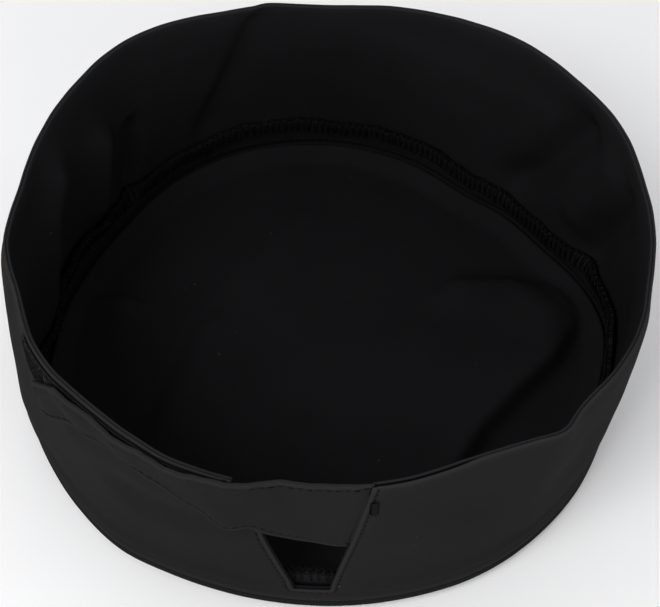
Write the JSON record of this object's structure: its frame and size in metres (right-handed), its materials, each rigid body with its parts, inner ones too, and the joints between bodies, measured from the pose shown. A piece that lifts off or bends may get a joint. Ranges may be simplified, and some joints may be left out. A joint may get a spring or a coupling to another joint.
{
  "type": "chef toque",
  "caption": "Low pillbox chef's hat in plain black twill: flat round crown, straight side band, and a back notch closed by a hook-and-loop adjuster tab.",
  "frame": {"origin": "centre of the crown's outer face, which the hat rests on", "axes": "+Z out of the head opening, -Y towards the back notch, +X completing a right-handed frame"},
  "size_m": [0.192, 0.193, 0.075],
  "materials": {
    "black_twill": "matte cotton-blend twill with a soft sheen",
    "black_thread": "spun polyester sewing thread",
    "interlining": "matte bonded non-woven",
    "hook_tape": "stiff nylon hook tape",
    "loop_tape": "brushed nylon loop tape"
  },
  "bodies": {
    "hat": {"crown_panel": "black_twill", "outer_band": "black_twill", "band_lining": "black_twill", "band_interlining": "interlining", "crown_seam_thread": "black_thread", "crown_overlock_thread": "black_thread", "notch_topstitch": "black_thread", "tab_root": "black_twill", "tab_root_bartack": "black_thread", "loop_tape": "loop_tape", "loop_tape_stitch": "black_thread"},
    "tab": {"tab_outer_ply": "black_twill", "tab_interlining": "interlining", "tab_inner_ply": "black_twill", "tab_topstitch": "black_thread", "hook_tape": "hook_tape", "hook_tape_stitch": "black_thread"}
  },
  "joints": [
    {"name": "adjuster_tab_peel", "type": "hinge", "parent": "hat", "child": "tab", "pos_m": [0.0133, -0.09398, 0.05745], "axis": [0.2274, 0.0322, 0.9733], "range_deg": [0, 120]}
  ]
}
